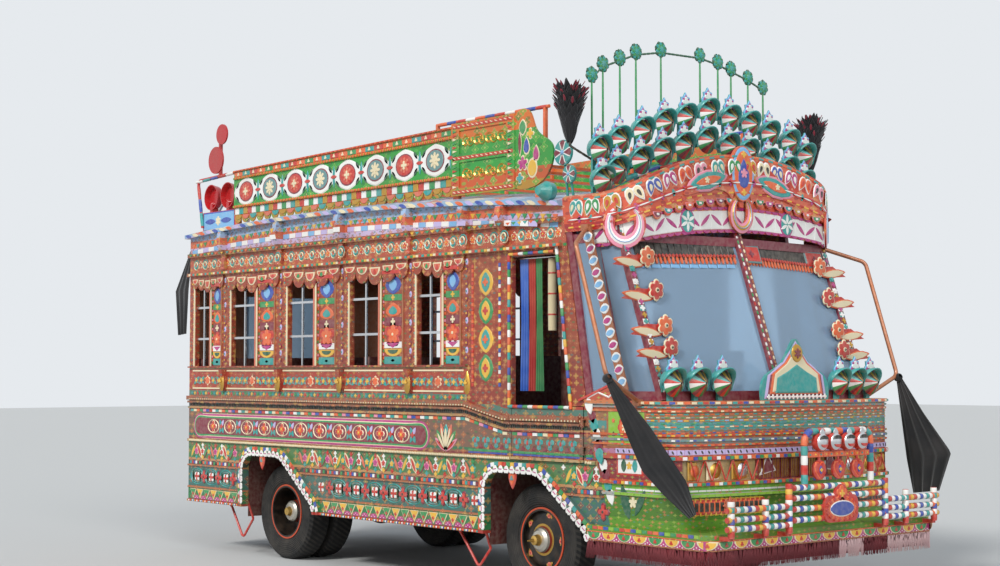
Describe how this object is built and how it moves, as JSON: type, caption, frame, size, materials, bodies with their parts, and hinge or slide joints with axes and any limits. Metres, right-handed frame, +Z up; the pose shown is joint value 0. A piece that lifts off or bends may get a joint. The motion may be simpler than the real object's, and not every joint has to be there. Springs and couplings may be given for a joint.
{
  "type": "minibus",
  "caption": "Coach-built city minibus on a light-truck chassis, with a crown of show lamps, visor, roof rack, steered front wheels, twin rear wheels and two doors.",
  "frame": {"origin": "middle of the vehicle in plan, on the ground", "axes": "+X forward, +Y to the left side, +Z up"},
  "size_m": [6.572, 2.9599, 3.7933],
  "materials": {
    "frame_black": "satin",
    "engine_grey": "matt",
    "tyre_black": "matt",
    "rim_paint": "gloss",
    "floor_wood": "matt",
    "roof_paint": "satin",
    "body_red": "gloss",
    "lamp_glass": "gloss",
    "trim_maroon": "gloss",
    "clear_glass": "gloss",
    "bright_metal": "brushed",
    "body_lime": "gloss",
    "fringe_cloth": "matt",
    "rope_tube": "gloss",
    "visor_paint": "gloss",
    "crown_teal": "gloss",
    "flower_green": "matt",
    "plume_feather": "matt",
    "rack_orange": "gloss",
    "lamp_red": "gloss",
    "seat_leather": "satin",
    "wheel_plastic": "matt",
    "flap_rubber": "matt",
    "loop_red": "gloss",
    "curtain_cloth": "matt",
    "black_cloth": "matt",
    "flower_orange": "gloss"
  },
  "bodies": {
    "body": {"bumper_tubes": "rope_tube", "cab_curtain": "curtain_cloth", "chassis_frame": "frame_black", "cloth_front_left": "black_cloth", "cloth_front_right": "black_cloth", "cloth_rear_right": "black_cloth", "crown": "crown_teal", "dashboard": "trim_maroon", "engine_block": "engine_grey", "exhaust_pipe": "engine_grey", "floor": "floor_wood", "flower_arch": "flower_green", "front_axle": "frame_black", "front_bumper": "body_lime", "front_fringe": "fringe_cloth", "front_show_lamps": "crown_teal", "fuel_tank": "frame_black", "grille": "engine_grey", "headlamps": "lamp_glass", "leaf_springs": "frame_black", "lower_side_left": "body_red", "lower_side_right": "body_red", "mudflaps": "flap_rubber", "nose_panel": "body_red", "plumes": "plume_feather", "rack_panels": "rack_orange", "rear_axle": "frame_black", "rear_ladder": "rope_tube", "rear_lamp_boxes": "lamp_red", "rear_wall": "body_red", "roof": "roof_paint", "roof_rack": "rack_orange", "rosettes": "lamp_red", "screen_flowers": "flower_orange", "seats": "seat_leather", "side_arms": "rope_tube", "step_loops": "loop_red", "upper_side_left": "body_red", "upper_side_right": "body_red", "visor_board": "visor_paint", "visor_valance": "visor_paint", "window_bars": "bright_metal", "window_glass": "clear_glass", "windscreen_frame": "trim_maroon"},
    "knuckle_right": {"knuckle_right": "frame_black"},
    "knuckle_left": {"knuckle_left": "frame_black"},
    "tie_rod": {"tie_rod": "frame_black"},
    "wheel_front_right": {"rim_front_right": "rim_paint", "tyre_front_right": "tyre_black"},
    "wheel_front_left": {"rim_front_left": "rim_paint", "tyre_front_left": "tyre_black"},
    "wheels_rear_right": {"rim_rear_right": "rim_paint", "tyres_rear_right": "tyre_black"},
    "wheels_rear_left": {"rim_rear_left": "rim_paint", "tyres_rear_left": "tyre_black"},
    "steering_wheel": {"steering_wheel": "wheel_plastic"},
    "driver_door": {"driver_door": "body_red"},
    "passenger_door": {"passenger_door": "body_red"}
  },
  "joints": [
    {"name": "steer_right", "type": "hinge", "parent": "body", "child": "knuckle_right", "pos_m": [1.48, -0.79, 0.385], "axis": [0, 0, 1], "range_deg": [-30, 30]},
    {"name": "steer_left", "type": "hinge", "parent": "body", "child": "knuckle_left", "pos_m": [1.48, 0.79, 0.385], "axis": [0, 0, 1], "range_deg": [-30, 30]},
    {"name": "tie_rod_pivot", "type": "hinge", "parent": "knuckle_right", "child": "tie_rod", "pos_m": [1.36, -0.79, 0.29], "axis": [0, 0, 1], "range_deg": [-30, 30]},
    {"name": "roll_front_right", "type": "hinge", "parent": "knuckle_right", "child": "wheel_front_right", "pos_m": [1.48, -0.8825, 0.385], "axis": [0, 1, 0], "continuous": true},
    {"name": "roll_front_left", "type": "hinge", "parent": "knuckle_left", "child": "wheel_front_left", "pos_m": [1.48, 0.8825, 0.385], "axis": [0, 1, 0], "continuous": true},
    {"name": "roll_rear_right", "type": "hinge", "parent": "body", "child": "wheels_rear_right", "pos_m": [-1.67, -0.765, 0.385], "axis": [0, 1, 0], "continuous": true},
    {"name": "roll_rear_left", "type": "hinge", "parent": "body", "child": "wheels_rear_left", "pos_m": [-1.67, 0.765, 0.385], "axis": [0, 1, 0], "continuous": true},
    {"name": "steering_wheel_turn", "type": "hinge", "parent": "body", "child": "steering_wheel", "pos_m": [2.12321, -0.52, 1.344], "axis": [-0.6443, 0, 0.7647], "range_deg": [-450, 450]},
    {"name": "driver_door_hinge", "type": "hinge", "parent": "body", "child": "driver_door", "pos_m": [2.046, -1.116, 1.1], "axis": [0, 0, 1], "range_deg": [0, 70]},
    {"name": "passenger_door_hinge", "type": "hinge", "parent": "body", "child": "passenger_door", "pos_m": [0.83, 1.116, 1.3], "axis": [0, 0, -1], "range_deg": [0, 75]}
  ],
  "couplings": [
    {"joint": "steer_left", "follows": "steer_right", "ratio": 1},
    {"joint": "tie_rod_pivot", "follows": "steer_right", "ratio": -1},
    {"joint": "steering_wheel_turn", "follows": "steer_right", "ratio": 15}
  ]
}
